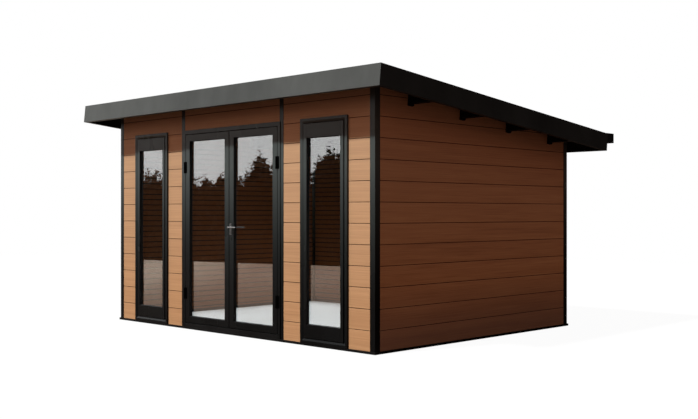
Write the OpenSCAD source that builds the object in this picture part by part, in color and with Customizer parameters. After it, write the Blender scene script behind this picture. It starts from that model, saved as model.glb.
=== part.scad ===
// Garden shed with composite board walls, a glazed double door and a mono-pitch metal roof.
// Millimetres, +Z up. The origin is on the ground at the centre of the walls' outline,
// the front faces -Y and the roof falls towards +Y.

/* [Overall] */
// Width over the corner posts
wall_w = 3858; // [3000:2:5200]
// Depth over the corner posts
wall_d = 2958; // [2100:2:4200]
// Height of the purlins' underside above the ground, at the front face
roof_z = 2168; // [2130:1:2700]
// Fall of the roof towards the back, in degrees
roof_pitch = 5.8; // [3:0.1:8]

/* [Posts and boards] */
// Side of the square corner posts, and depth of every post
post_size = 60; // [50:1:80]
// Width of the posts beside the door
door_post_w = 55; // [50:1:80]
// Radius of the posts' outer edges
post_round = 3; // [2:0.5:6]
// Thickness of the wall boards
board_t = 28; // [20:1:34]
// How far the boards sit behind the post faces
board_setback = 3; // [2:1:14]
// How deep the board channels are cut into the posts
channel_depth = 15; // [10:1:18]

/* [Base and floor] */
// Height of the rail under the walls
rail_h = 22; // [15:1:40]
// How far the rail stands out beyond the posts
rail_out = 10; // [5:1:20]
// Width of the rail
rail_w = 72; // [60:1:90]
// Thickness of the floor panel
floor_t = 20; // [12:1:22]

/* [Door] */
// Clear width between the door posts
door_gap_w = 1460; // [1200:2:1800]
// Top of the door frame and window frames above the ground
frame_top = 2023; // [1900:1:2060]
// Width of the frame's cover flange over its neighbours
flange_w = 15; // [10:1:20]
// Visible width of the door jambs
jamb_w = 33; // [28:1:50]
// Visible height of the door head
head_w = 40; // [30:1:60]
// Top of the door sill above the ground
sill_top = 60; // [40:1:90]
// Width of the leaf stiles
stile_w = 66; // [50:1:90]
// Height of the leaf rails
leaf_rail_w = 65; // [50:1:120]
// Thickness of the leaves
leaf_t = 42; // [36:1:50]
// Gap between a leaf and its frame
leaf_gap = 6; // [5:0.5:8]
// Gap between the two leaves where they meet
meeting_gap = 9; // [9:0.5:14]
// How far the door glass lies behind the leaf's face
door_glass_recess = 27; // [16:1:32]

/* [Windows] */
// Width of a window frame
window_w = 592; // [450:1:800]
// How far the windows stand off their bay's middle, towards the door
window_shift = 6; // [-20:1:20]
// How far the window frames stand out in front of the posts
window_proud = 17; // [8:1:24]
// Visible width of the window frame's sides
window_jamb_w = 41; // [35:1:60]
// Visible height of the window frame's head and foot
window_rail_w = 41; // [35:1:60]
// Width of the slope that falls from the window frame's face towards its sash
window_slope_w = 18; // [1:1:19]
// Depth of that slope
window_slope_d = 10; // [1:1:16]
// Width of the sash stiles
sash_stile_w = 37; // [28:1:70]
// Height of the sash's top rail
sash_top_w = 125; // [60:1:160]
// Height of the sash's bottom rail
sash_bottom_w = 119; // [60:1:160]
// How far the window glass lies behind the sash's face
window_glass_recess = 27; // [14:1:30]

/* [Glass] */
// Thickness of the glass
glass_t = 6; // [4:1:8]
// How far the glass enters its grooves
glass_bite = 12; // [8:1:16]

/* [Hinges] */
// Height of one hinge
hinge_h = 115; // [90:1:140]
// Height of the lower hinges' centres above the ground
hinge_low_z = 363; // [250:1:500]
// Height of the upper hinges' centres above the ground
hinge_high_z = 1646; // [1400:1:1750]
// Radius of the hinge knuckles
knuckle_r = 6.5; // [5:0.5:9]
// Radius of the hinge pins
pin_r = 3.5; // [2.5:0.5:4]
// Reach of a hinge plate from the pin's axis
hinge_reach = 25; // [19:1:30]

/* [Handle] */
// Height of the lever's spindle above the ground
lever_z = 1043; // [950:1:1100]
// Distance of the spindle from the leaf's meeting edge
lever_inset = 24; // [20:1:36]
// Length of the lever from the spindle
lever_len = 108; // [90:1:140]
// How far the lever's grip stands off the leaf
lever_stand = 36; // [30:1:60]
// Radius of the lever's grip
grip_r = 7; // [6:0.5:10]
// Radius of the lever's neck
neck_r = 8; // [7:0.5:11]
// Side of the square spindle
spindle = 8; // [7:1:10]
// Width of the handle plates
plate_w = 30; // [24:1:40]
// Height of the handle plates
plate_h = 112; // [100:1:220]
// Height of the keyhole below the spindle
keyhole_drop = 50; // [40:1:60]

/* [Roof] */
// Overhang in front of the posts, along the slope
over_front = 280; // [150:1:400]
// Overhang beside the posts
over_side = 307; // [150:1:450]
// Overhang behind the posts, along the slope
over_back = 282; // [150:1:400]
// Height of the fascia
fascia_h = 182; // [170:1:240]
// Thickness of the fascia metal
fascia_t = 4; // [3:0.5:6]
// Width of the fascia's bottom lip
fascia_lip = 40; // [20:1:60]
// Number of purlins
purlin_n = 4; // [3:1:6]
// Distance from the front posts' face to the first purlin, along the slope
purlin_first = 419; // [300:1:500]
// Spacing of the purlins along the slope
purlin_pitch = 726; // [400:1:800]
// Width of a purlin
purlin_w = 50; // [40:1:60]
// Height of a purlin
purlin_h = 120; // [100:1:130]
// Wall of the purlin tubes
purlin_wall = 4; // [3:0.5:6]
// Number of ribs in the roof sheet
rib_n = 22; // [12:1:30]
// Height of the roof sheet's ribs
rib_h = 35; // [20:1:38]
// Thickness of the roof sheet
sheet_t = 2; // [1:0.5:4]

/* [Gutter] */
// Depth of the gutter from front to back
gutter_d = 148; // [100:1:180]
// Height of the gutter
gutter_h = 100; // [80:1:140]
// Thickness of the gutter's metal
gutter_t = 3; // [2:0.5:5]
// Radius of the outlet for the downpipe
outlet_r = 34; // [25:1:40]
// Length of the outlet below the gutter
outlet_len = 50; // [30:1:80]

/* [Hidden] */
$fn = 48;

// Clearance of pieces that lie on or in each other
seat = 0.3;
// Running clearance round a hinge pin
pin_clear = 0.08;
// Clearance of the lever's neck in its plate
neck_clear = 0.4;
// Length of the cutting tools that run past every piece
far = 8000;

front_y = -wall_d / 2;
half_w = wall_w / 2;
channel_w = board_t + 2 * seat;
// How far the boards run into a post's channel
board_bite = channel_depth - 3;

door_edge = door_gap_w / 2;
bay_w = half_w - post_size - door_edge - door_post_w;
bay_x = door_edge + door_post_w + bay_w / 2;
window_x = bay_x - window_shift;

// Depths behind the front posts' face
frame_back = post_size - 8;
leaf_y = -8;
stop_y = leaf_y + leaf_t + 5;
stop_w = 12;
// Bottom of the panels over the windows and the door, under the frames' flanges
head_panel_z = frame_top - flange_w + 3;
window_y = -window_proud;
sash_y = window_y + 1;
sash_t = 42;
sash_gap = 6;

// Strip on the base rail that holds the boards' foot
upstand_t = 4;
upstand_h = 18;

frame_h = frame_top - rail_h;
frame_w = door_gap_w + 2 * flange_w;
leaf_x = frame_w / 2 - jamb_w - leaf_gap;
leaf_w = leaf_x - meeting_gap / 2;
leaf_z = sill_top + leaf_gap;
leaf_h = frame_top - head_w - leaf_gap - leaf_z;
door_glass_y = leaf_y + door_glass_recess;
window_glass_y = sash_y + window_glass_recess;

hinge_x = leaf_x + leaf_gap / 2;
hinge_y = leaf_y - knuckle_r - 0.5;
plate_t = 3;
knuckle_h = hinge_h / 3;

lever_x = meeting_gap / 2 + lever_inset;
handle_plate_t = 6;

sheet_n = purlin_h;
roof_half_w = half_w + over_side;
roof_len = over_front + wall_d / cos(roof_pitch) + over_back;
sheet_half_w = roof_half_w - 23;
sheet_past = 34;
purlin_half_w = roof_half_w - fascia_t - seat;
// The fascia's bottom lip passes under the purlins
fascia_drop = fascia_t + seat;

gutter_y = (roof_len - over_front) * cos(roof_pitch) + fascia_h * sin(roof_pitch) + seat;
gutter_z = roof_z - gutter_y * tan(roof_pitch) + 86;
gutter_half_w = roof_half_w - 15;
gutter_back_h = 30;
outlet_x = -gutter_half_w + 180;
// The outlet's neck passes through the gutter's floor
neck_of_outlet = outlet_r - 1;

// Height of a surface parallel to the roof, n above the purlins' underside and y behind the front posts
function roof_at(y, n) = roof_z + n / cos(roof_pitch) - y * tan(roof_pitch);

// Places a piece in the roof's own frame: +Y runs down the slope from the front posts' face
// and +Z is square to it
module on_roof() translate([0, front_y, roof_z]) rotate([-roof_pitch, 0, 0]) children();

// Everything above a surface parallel to the roof
module above_roof(n) on_roof() translate([-far / 2, -far / 2, n]) cube([far, far, far / 2]);

// A piece whose y counts from the front posts' face
module from_front() translate([0, front_y, 0]) children();

// Both mirror images of a piece about the middle of the shed
module both_sides() {
    children();
    mirror([1, 0, 0]) children();
}

// A bar along +X whose section has x inwards (+Z) and y backwards. An end is cut at the given run of mitre
// for each unit inwards, and square where that is 0.
module bar(length, start_run, end_run, reach) {
    start = start_run == 0 ? 0 : seat / 2;
    end = end_run == 0 ? 0 : seat / 2;
    intersection() {
        rotate([90, 0, 90]) linear_extrude(length) mirror([1, -1, 0]) children();
        rotate([90, 0, 0]) linear_extrude(far / 4, center = true)
            polygon([
                [start, 0], [length - end, 0],
                [length - end - end_run * reach, reach], [start + start_run * reach, reach]
            ]);
    }
}

// One side of an upright frame w wide and h high, with its mitres
module frame_side(side, w, h, side_w, rail_w, reach, foot_run = -1) {
    side_run = rail_w / side_w;
    foot = foot_run < 0 ? side_run : foot_run;
    if (side == "bottom") bar(w, 1 / side_run, 1 / side_run, reach) children();
    if (side == "top") translate([0, 0, h]) mirror([0, 0, 1]) bar(w, 1 / side_run, 1 / side_run, reach) children();
    if (side == "left") mirror([1, 0, -1]) bar(h, foot, side_run, reach) children();
    if (side == "right")
        translate([w, 0, 0]) mirror([1, 0, 0]) mirror([1, 0, -1]) bar(h, foot, side_run, reach) children();
}

// ---- base and floor ----

// One side of the mitred base. Its upstand holds the boards' foot from inside, between the posts
module base_rail(side) {
    inner_face = board_setback + board_t + seat;
    length = (side == "bottom" || side == "top" ? wall_w : wall_d) - 2 * (post_size + seat);
    color("#1b1b1b") {
        translate([-half_w - rail_out, front_y - rail_out, 0])
            rotate([-90, 0, 0])
                frame_side(side, wall_w + 2 * rail_out, wall_d + 2 * rail_out, rail_w, rail_w, rail_w)
                    translate([0, -rail_h]) square([rail_w, rail_h]);
        if (side == "top") upstand(length, wall_d / 2 - inner_face);
        if (side == "left") rotate([0, 0, 90]) upstand(length, half_w - inner_face);
        if (side == "right") rotate([0, 0, -90]) upstand(length, half_w - inner_face);
    }
}

// A strip along X on the rail, in front of a face at the given y
module upstand(length, face) {
    translate([-length / 2, face - upstand_t, rail_h - 1]) cube([length, upstand_t, upstand_h + 1]);
}

module floor_panel() {
    inset = rail_w - rail_out + seat;
    color("#d9d8d3")
        translate([inset - half_w, inset + front_y, 0])
            cube([wall_w - 2 * inset, wall_d - 2 * inset, floor_t]);
}

// ---- posts ----

// A rectangle with its corners rounded
module rounded_rect(w, d, r) {
    translate([r, 0]) square([w - 2 * r, d]);
    translate([0, r]) square([w, d - 2 * r]);
    for (x = [r, w - r], y = [r, d - r]) translate([x, y]) circle(r);
}

// The hollow core of a post and the channel on one of its faces are cut from the solid outline
module post_core(w) {
    core_y = board_setback + channel_w + 4;
    translate([6, core_y]) square([w - 12, post_size - core_y - 4]);
}

module board_channel() translate([-1, board_setback - seat]) square([channel_depth + 1, channel_w]);

module corner_post(right, back) {
    color("#2a2c2d")
        mirror([right, 0, 0]) mirror([0, back, 0])
            difference() {
                translate([-half_w, front_y, rail_h])
                    linear_extrude(roof_z + purlin_h)
                        difference() {
                            rounded_rect(post_size, post_size, post_round);
                            translate([post_size, 0]) mirror([1, 0]) board_channel();
                            translate([0, post_size]) mirror([1, -1]) mirror([1, 0]) board_channel();
                            translate([6, 6]) square(post_size - channel_depth - 10);
                        }
                mirror([0, back, 0]) above_roof(sheet_n - seat);
            }
}

module door_post(right) {
    color("#2a2c2d")
        mirror([right, 0, 0])
            difference() {
                translate([-door_edge - door_post_w, front_y, rail_h])
                    linear_extrude(roof_z + purlin_h)
                        difference() {
                            rounded_rect(door_post_w, post_size, post_round);
                            board_channel();
                            translate([door_post_w, 0]) mirror([1, 0]) board_channel();
                            post_core(door_post_w);
                        }
                above_roof(sheet_n - seat);
            }
}

// ---- walls ----

// A plain cladding slab of the front wall between two x and two z, cut to the roof
module front_slab(x0, x1, z0, z1) {
    color("#b07a4c")
        difference() {
            from_front() translate([x0, board_setback, z0]) cube([x1 - x0, board_t, z1 - z0]);
            above_roof(sheet_n - seat);
        }
}

module front_piers(right) {
    hole = window_w / 2 - flange_w + 1;
    z1 = head_panel_z - seat;
    mirror([right, 0, 0]) {
        front_slab(-bay_x - bay_w / 2 - board_bite, -window_x - hole, rail_h, z1);
        front_slab(-window_x + hole, -bay_x + bay_w / 2 + board_bite, rail_h, z1);
    }
}

module front_head_panel(right) {
    reach = bay_w / 2 + board_bite;
    mirror([right, 0, 0]) front_slab(-bay_x - reach, -bay_x + reach, head_panel_z, roof_at(0, purlin_h));
}

module door_head_panel() {
    reach = door_edge + board_bite;
    front_slab(-reach, reach, head_panel_z, roof_at(0, purlin_h));
}

// A side wall, notched over its top edge for the purlins
module side_wall(right) {
    y0 = post_size - board_bite;
    y1 = wall_d - y0;
    color("#7a4a2c")
        mirror([right, 0, 0])
            difference() {
                translate([board_setback - half_w, front_y, 0])
                    rotate([90, 0, 90])
                        linear_extrude(board_t)
                            polygon([
                                [y0, rail_h], [y1, rail_h],
                                [y1, roof_at(y1, sheet_n - seat)], [y0, roof_at(y0, sheet_n - seat)]
                            ]);
                on_roof() for (i = [0 : purlin_n - 1])
                    translate([-half_w - 1, purlin_first + i * purlin_pitch - seat, -seat])
                        cube([post_size, purlin_w + 2 * seat, 2 * purlin_h]);
            }
}

module back_wall() {
    x = half_w - post_size + board_bite;
    color("#7a4a2c")
        difference() {
            translate([-x, -front_y - board_setback - board_t, rail_h]) cube([2 * x, board_t, roof_z]);
            above_roof(sheet_n - seat);
        }
}

// ---- windows ----

// Section of an outer frame: flange over the neighbours, face, slope, and the lip
// that its leaf or sash closes on
module frame_section(face_w, flange, face_y, flange_back, lip_y, slope_w = 1, slope_d = 1) {
    polygon([
        [1, face_y], [face_w - slope_w, face_y], [face_w, face_y + slope_d],
        [face_w, lip_y], [face_w + stop_w, lip_y], [face_w + stop_w, frame_back],
        [flange + 0.5, frame_back], [flange + 0.5, flange_back], [0, flange_back], [0, face_y + 1]
    ]);
}

// Section of a leaf or sash bar with a groove for the glass and bevelled front edges
module glazed_section(w, face_y, depth, glass_y, bevel) {
    difference() {
        polygon([
            [0, face_y + bevel], [bevel, face_y], [w - bevel, face_y], [w, face_y + bevel],
            [w, glass_y - seat], [w, glass_y + glass_t + seat], [w - 3, face_y + depth], [0, face_y + depth]
        ]);
        translate([w - glass_bite - 1, glass_y - seat]) square([glass_bite + 2, glass_t + 2 * seat]);
    }
}

module at_window(right) {
    mirror([right, 0, 0]) from_front() translate([-window_x - window_w / 2, 0, rail_h]) children();
}

module window_section(face_w) {
    lip_y = sash_y + sash_t + seat;
    frame_section(face_w, flange_w, window_y, board_setback - seat, lip_y, window_slope_w, window_slope_d);
}

module window_frame(right) {
    reach = window_jamb_w + stop_w;
    color("#26292b")
        at_window(right) {
            for (side = ["left", "right"])
                frame_side(side, window_w, frame_h, window_jamb_w, window_rail_w, reach)
                    window_section(window_jamb_w);
            for (side = ["bottom", "top"])
                frame_side(side, window_w, frame_h, window_jamb_w, window_rail_w, reach)
                    window_section(window_rail_w);
        }
}

sash_w = window_w - 2 * (window_jamb_w + sash_gap);
sash_h = frame_h - 2 * (window_rail_w + sash_gap);

module window_sash(right) {
    inset_x = window_jamb_w + sash_gap;
    inset_z = window_rail_w + sash_gap;
    color("#26292b")
        at_window(right) translate([inset_x, 0, inset_z]) {
            for (side = ["left", "right"])
                frame_side(side, sash_w, sash_h, 1, 0, sash_stile_w)
                    glazed_section(sash_stile_w, sash_y, sash_t, window_glass_y, 1.5);
            translate([sash_stile_w + seat, 0, 0])
                bar(sash_w - 2 * (sash_stile_w + seat), 0, 0, sash_bottom_w)
                    glazed_section(sash_bottom_w, sash_y, sash_t, window_glass_y, 1.5);
            translate([sash_stile_w + seat, 0, sash_h]) mirror([0, 0, 1])
                bar(sash_w - 2 * (sash_stile_w + seat), 0, 0, sash_top_w)
                    glazed_section(sash_top_w, sash_y, sash_t, window_glass_y, 1.5);
        }
}

module window_glass(right) {
    x0 = window_jamb_w + sash_gap + sash_stile_w - glass_bite;
    z0 = window_rail_w + sash_gap + sash_bottom_w - glass_bite;
    z1 = frame_h - window_rail_w - sash_gap - sash_top_w + glass_bite;
    color("#9fb4bf", 0.4)
        at_window(right) translate([x0, window_glass_y, z0]) cube([window_w - 2 * x0, glass_t, z1 - z0]);
}

// ---- door ----

module at_door() from_front() translate([-frame_w / 2, 0, rail_h]) children();

module door_frame() {
    reach = max(jamb_w, head_w) + stop_w;
    color("#26292b")
        at_door() {
            for (side = ["left", "right"])
                frame_side(side, frame_w, frame_h, jamb_w, head_w, reach, 0)
                    frame_section(jamb_w, flange_w, leaf_y, -seat, stop_y);
            frame_side("top", frame_w, frame_h, jamb_w, head_w, reach)
                frame_section(head_w, flange_w * head_w / jamb_w, leaf_y, -seat, stop_y);
        }
}

// The sill fits between the jambs and steps up behind the leaves
module door_sill() {
    edge = frame_w / 2 - jamb_w - seat;
    lip_edge = edge - stop_w;
    color("#1e2021")
        from_front() {
            translate([-edge, 0, 0]) rotate([90, 0, 90]) linear_extrude(2 * edge)
                polygon([
                    [leaf_y + 1, rail_h], [stop_y - seat, rail_h], [stop_y - seat, sill_top],
                    [leaf_y + 3, sill_top], [leaf_y + 1, sill_top - 2]
                ]);
            translate([-lip_edge, 0, 0]) rotate([90, 0, 90]) linear_extrude(2 * lip_edge)
                polygon([
                    [stop_y - 1, rail_h], [frame_back, rail_h], [frame_back, sill_top + 8],
                    [stop_y, sill_top + 10], [stop_y, sill_top - 1], [stop_y - 1, sill_top - 1]
                ]);
        }
}

// Places a leaf's own frame, from its hinge edge, in the doorway
module at_leaf(right) mirror([right, 0, 0]) from_front() translate([-leaf_x, 0, leaf_z]) children();

module leaf_bars() {
    for (side = ["left", "right"])
        frame_side(side, leaf_w, leaf_h, stile_w, leaf_rail_w, leaf_rail_w + 1)
            glazed_section(stile_w, leaf_y, leaf_t, door_glass_y, 2);
    for (side = ["bottom", "top"])
        frame_side(side, leaf_w, leaf_h, stile_w, leaf_rail_w, leaf_rail_w + 1)
            glazed_section(leaf_rail_w, leaf_y, leaf_t, door_glass_y, 2);
}

module door_leaf_left() color("#26292b") at_leaf(0) leaf_bars();

module door_leaf_right() {
    color("#26292b")
        difference() {
            at_leaf(1) leaf_bars();
            at_handle() rotate([-90, 0, 0]) cylinder(h = 4 * leaf_t, r = spindle, center = true);
        }
}

module door_glass(right) {
    x0 = stile_w - glass_bite;
    z0 = leaf_rail_w - glass_bite;
    color("#9fb4bf", 0.4)
        at_leaf(right) translate([x0, door_glass_y, z0]) cube([leaf_w - 2 * x0, glass_t, leaf_h - 2 * z0]);
}

// ---- hinges ----

module at_hinges(right) {
    mirror([right, 0, 0]) for (z = [hinge_low_z, hinge_high_z])
        from_front() translate([-hinge_x, hinge_y, z - hinge_h / 2]) children();
}

// A plate on the door's face beside the knuckles, relieved round the knuckle of the other half
module hinge_plate(relief_z, relief_h) {
    face = knuckle_r + 0.5 - seat;
    difference() {
        translate([0, face - plate_t, 0]) cube([hinge_reach, plate_t, hinge_h]);
        translate([-1, 0, relief_z]) cube([knuckle_r + 2, far, relief_h]);
    }
}

// The frame's half: upper and lower knuckle on one pin, and the plate on the jamb
module frame_hinge() {
    cylinder(h = knuckle_h, r = knuckle_r);
    cylinder(h = hinge_h, r = pin_r);
    translate([0, 0, 2 * knuckle_h]) cylinder(h = knuckle_h, r = knuckle_r);
    mirror([1, 0, 0]) hinge_plate(knuckle_h - seat, knuckle_h + 2 * seat);
}

// The leaf's half: the middle knuckle and the plate on the stile
module leaf_hinge() {
    difference() {
        union() {
            translate([0, 0, knuckle_h + seat]) cylinder(h = knuckle_h - 2 * seat, r = knuckle_r);
            difference() {
                hinge_plate(-1, knuckle_h + 1 + seat);
                translate([-1, 0, 2 * knuckle_h - seat]) cube([knuckle_r + 2, far, far]);
            }
        }
        cylinder(h = hinge_h, r = pin_r + pin_clear);
    }
}

module hinges_on_frame() color("#151515") for (right = [0, 1]) at_hinges(right) frame_hinge();

module hinges_on_leaf(right) color("#151515") at_hinges(right) leaf_hinge();

// ---- handle ----

module at_handle() from_front() translate([lever_x, leaf_y + leaf_t / 2, lever_z]) children();

// Both faces of the leaf, with -Y away from the leaf's middle
module each_face() {
    children();
    mirror([0, 1, 0]) children();
}

module handle_plate() {
    face = leaf_t / 2 + seat;
    difference() {
        union() {
            translate([0, -face, 0]) rotate([90, 0, 0])
                linear_extrude(handle_plate_t)
                    translate([-plate_w / 2, -keyhole_drop - 24]) rounded_rect(plate_w, plate_h, 6);
            translate([0, -face, -keyhole_drop]) rotate([90, 0, 0]) cylinder(h = handle_plate_t + 2, r = 8.5);
        }
        rotate([90, 0, 0]) cylinder(h = far, r = neck_r + neck_clear);
        translate([-1.5, -face - handle_plate_t - 3, -keyhole_drop - 5]) cube([3, 5, 10]);
    }
}

module handle_plates() color("#b9bbbd") at_handle() each_face() handle_plate();

// Neck, elbow and round-ended grip of one lever
module lever() {
    start = leaf_t / 2 + 0.5;
    translate([0, -start, 0]) rotate([90, 0, 0]) cylinder(h = lever_stand - 0.5, r = neck_r);
    translate([0, -leaf_t / 2 - lever_stand, 0]) {
        sphere(r = neck_r);
        rotate([0, 90, 0]) cylinder(h = lever_len - grip_r, r = grip_r);
        translate([lever_len - grip_r, 0, 0]) sphere(r = grip_r);
    }
}

module lever_handle() {
    color("#c9cbcc")
        at_handle() {
            each_face() lever();
            cube([spindle, leaf_t + 4, spindle], center = true);
        }
}

// ---- roof ----

module purlins() {
    color("#1d1f20")
        on_roof() for (i = [0 : purlin_n - 1])
            translate([-purlin_half_w, purlin_first + i * purlin_pitch, 0])
                difference() {
                    cube([2 * purlin_half_w, purlin_w, purlin_h - seat]);
                    translate([-1, purlin_wall, purlin_wall])
                        cube([far, purlin_w - 2 * purlin_wall, purlin_h - seat - 2 * purlin_wall]);
                }
}

// Shoes on the side walls' outer faces that carry the purlins' ends
module purlin_shoes() {
    shoe_out = 34;
    shoe_h = 17;
    color("#1d1f20")
        both_sides() on_roof() for (i = [0 : purlin_n - 1])
            translate([half_w - board_setback + seat, purlin_first + i * purlin_pitch + purlin_w, -seat])
                rotate([90, 0, 0]) linear_extrude(purlin_w)
                    polygon([[0, 0], [shoe_out, 0], [shoe_out, -8], [shoe_out - 9, -shoe_h], [0, -shoe_h]]);
}

// Upper outline of the ribbed sheet from one edge to the other, as [x, height]
rib_pitch = 2 * sheet_half_w / rib_n;
rib_foot = 64;
rib_top = 32;
function sheet_line() = [
    for (i = [0 : rib_n - 1])
        let (x = -sheet_half_w + (i + 0.5) * rib_pitch)
            each [[x - rib_foot / 2, 0], [x - rib_top / 2, rib_h], [x + rib_top / 2, rib_h], [x + rib_foot / 2, 0]]
];

module roof_sheet() {
    line = concat([[-sheet_half_w, 0]], sheet_line(), [[sheet_half_w, 0]]);
    underside = [for (i = [len(line) - 1 : -1 : 0]) line[i]];
    length = roof_len - fascia_t - seat + sheet_past;
    color("#3b3f42")
        on_roof() translate([0, roof_len - over_front + sheet_past, sheet_n]) rotate([90, 0, 0])
            linear_extrude(length)
                polygon(concat([for (p = line) p + [0, sheet_t]], underside));
}

// Folded fascia: face, bottom lip and top lip, with x inwards and -y up
module fascia_section() {
    translate([0, -fascia_h]) square([fascia_t, fascia_h]);
    translate([0, -fascia_t]) square([fascia_lip, fascia_t]);
    translate([0, -fascia_h]) square([25, fascia_t]);
}

module fascia(side) {
    color("#4a4d4e")
        on_roof() translate([-roof_half_w, -over_front, -fascia_drop]) rotate([-90, 0, 0])
            if (side == "front") bar(2 * roof_half_w, 1, 1, fascia_lip) fascia_section();
            else if (side == "left") mirror([1, 0, -1]) bar(roof_len, 1, 0, fascia_lip) fascia_section();
            else translate([2 * roof_half_w, 0, 0]) mirror([1, 0, 0]) mirror([1, 0, -1])
                bar(roof_len, 1, 0, fascia_lip) fascia_section();
}

// The back fascia stands between the side fascias, under the sheet
module fascia_back() {
    half = roof_half_w - fascia_t - seat;
    face_h = sheet_n - seat;
    lip_half = roof_half_w - fascia_lip - seat;
    color("#4a4d4e")
        on_roof() translate([0, roof_len - over_front, 0]) {
            translate([-half, -fascia_t, 0]) cube([2 * half, fascia_t, face_h]);
            translate([-lip_half, -fascia_t, -fascia_drop]) cube([2 * lip_half, fascia_t, 2 * fascia_t]);
            translate([-lip_half, -fascia_lip, -fascia_drop]) cube([2 * lip_half, fascia_lip, fascia_t]);
        }
}

// ---- gutter ----

module gutter() {
    inner = gutter_d - 2 * gutter_t;
    color("#2a2c2d")
        from_front() translate([0, gutter_y, gutter_z])
            difference() {
                union() {
                    translate([-gutter_half_w, 0, 0]) rotate([90, 0, 90]) linear_extrude(2 * gutter_half_w)
                        polygon([
                            [0, 0], [gutter_d, 0], [gutter_d, gutter_h], [gutter_d - 12, gutter_h],
                            [gutter_d - 12, gutter_h - gutter_t], [gutter_d - gutter_t, gutter_h - gutter_t],
                            [gutter_d - gutter_t, gutter_t], [gutter_t, gutter_t],
                            [gutter_t, gutter_back_h], [0, gutter_back_h]
                        ]);
                    both_sides() translate([gutter_half_w - gutter_t, 0, 0]) cube([gutter_t, gutter_d, gutter_h]);
                }
                translate([outlet_x, gutter_d / 2, -1]) cylinder(h = gutter_t + 2, r = neck_of_outlet + seat);
            }
}

// Spigot under the gutter that takes a downpipe over it, with its neck and flange in the gutter's floor
module gutter_outlet() {
    bore = outlet_r - 3.5;
    color("#2a2c2d")
        from_front() translate([outlet_x, gutter_y + gutter_d / 2, gutter_z])
            rotate_extrude()
                polygon([
                    [bore, -seat - outlet_len], [outlet_r, -seat - outlet_len], [outlet_r, -seat],
                    [neck_of_outlet, -seat], [neck_of_outlet, gutter_t + seat], [outlet_r + 8, gutter_t + seat],
                    [outlet_r + 8, gutter_t + 2], [bore, gutter_t + 2]
                ]);
}

base_rail("bottom");  // base_rail_front
base_rail("top");  // base_rail_back
base_rail("left");  // base_rail_left
base_rail("right");  // base_rail_right
floor_panel();
corner_post(0, 0);  // corner_post_front_left
corner_post(1, 0);  // corner_post_front_right
corner_post(0, 1);  // corner_post_back_left
corner_post(1, 1);  // corner_post_back_right
door_post(0);  // door_post_left
door_post(1);  // door_post_right
front_piers(0);  // front_left_piers
front_piers(1);  // front_right_piers
front_head_panel(0);  // front_left_head_panel
front_head_panel(1);  // front_right_head_panel
door_head_panel();
side_wall(0);  // left_wall
side_wall(1);  // right_wall
back_wall();
window_frame(0);  // window_frame_left
window_frame(1);  // window_frame_right
window_sash(0);  // window_sash_left
window_sash(1);  // window_sash_right
window_glass(0);  // window_glass_left
window_glass(1);  // window_glass_right
door_frame();
door_sill();
door_leaf_left();
door_leaf_right();
door_glass(0);  // door_glass_left
door_glass(1);  // door_glass_right
hinges_on_frame();
hinges_on_leaf(0);  // hinges_on_left_leaf
hinges_on_leaf(1);  // hinges_on_right_leaf
handle_plates();
lever_handle();
purlins();
purlin_shoes();
roof_sheet();
fascia("front");  // fascia_front
fascia("left");  // fascia_left
fascia("right");  // fascia_right
fascia_back();
gutter();
gutter_outlet();
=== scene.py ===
"""Garden shed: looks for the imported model, in metres, in the model's own frame."""
import math

import bmesh
import bpy
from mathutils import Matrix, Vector


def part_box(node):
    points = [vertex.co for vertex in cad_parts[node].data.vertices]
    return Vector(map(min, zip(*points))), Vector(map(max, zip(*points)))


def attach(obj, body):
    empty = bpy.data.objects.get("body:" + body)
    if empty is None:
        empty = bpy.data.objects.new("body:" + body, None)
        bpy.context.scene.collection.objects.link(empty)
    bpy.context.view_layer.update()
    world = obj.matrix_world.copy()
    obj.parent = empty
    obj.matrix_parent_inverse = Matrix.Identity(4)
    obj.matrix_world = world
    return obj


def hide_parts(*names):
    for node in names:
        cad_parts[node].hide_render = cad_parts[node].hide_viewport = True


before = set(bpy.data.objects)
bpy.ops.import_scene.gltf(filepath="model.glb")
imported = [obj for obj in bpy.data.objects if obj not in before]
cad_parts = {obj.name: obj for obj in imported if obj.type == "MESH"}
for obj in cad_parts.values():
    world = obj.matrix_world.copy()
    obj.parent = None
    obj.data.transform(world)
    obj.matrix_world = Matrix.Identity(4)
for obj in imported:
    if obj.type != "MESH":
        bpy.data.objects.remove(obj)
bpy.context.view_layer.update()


# ---- sizes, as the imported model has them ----

MM = 0.001
# Clearance between pieces that seat on each other
SEAT = 0.0003
# A hair's breadth, so that a fixing never shares a face with what it lies on
HAIR = 0.0001

FRONT_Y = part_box("corner_post_front_left")[0][1]
RAIL_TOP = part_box("base_rail_front")[1][2]
# Half the distance between the outer faces of the boards, across and front to back
WALL_HALF = (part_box("right_wall")[1][0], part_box("back_wall")[1][1])
# Inner edges of the back corner posts: across on the back wall, front to back on the side walls
BACK_POST_EDGE = tuple(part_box("corner_post_back_right")[0][:2])

# Cover width of a board, height of the lowest joint, and rows up to the roof's highest edge
COURSE, FIRST_JOINT, COURSES = 0.180, 0.014, 13

ROOF_PITCH = math.radians(5.8)
# Height of the roof's own zero, where it crosses the front posts' outer faces
ROOF_Z = 2.168
PURLIN_N, PURLIN_FIRST, PURLIN_PITCH = 4, 0.419, 0.726
PURLIN_W, PURLIN_H = 0.050, 0.120
SHEET_T, RIBS = 0.002, 22
SHEET_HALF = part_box("roof_sheet")[1][0]
RIB_PITCH = 2 * SHEET_HALF / RIBS
FIRST_VALLEY = -SHEET_HALF + RIB_PITCH
# Height of the fascias' top lips over the roof's own zero, and the roof's reach before the posts
FASCIA_TOP, OVER_FRONT = 0.1777, 0.280
ROOF_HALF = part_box("fascia_right")[1][0]

# How far the panes reach into their holders, and the bevel along the holders' edges
GLASS_BITE, HOLDER_BEVEL = 0.012, 0.0025
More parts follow.
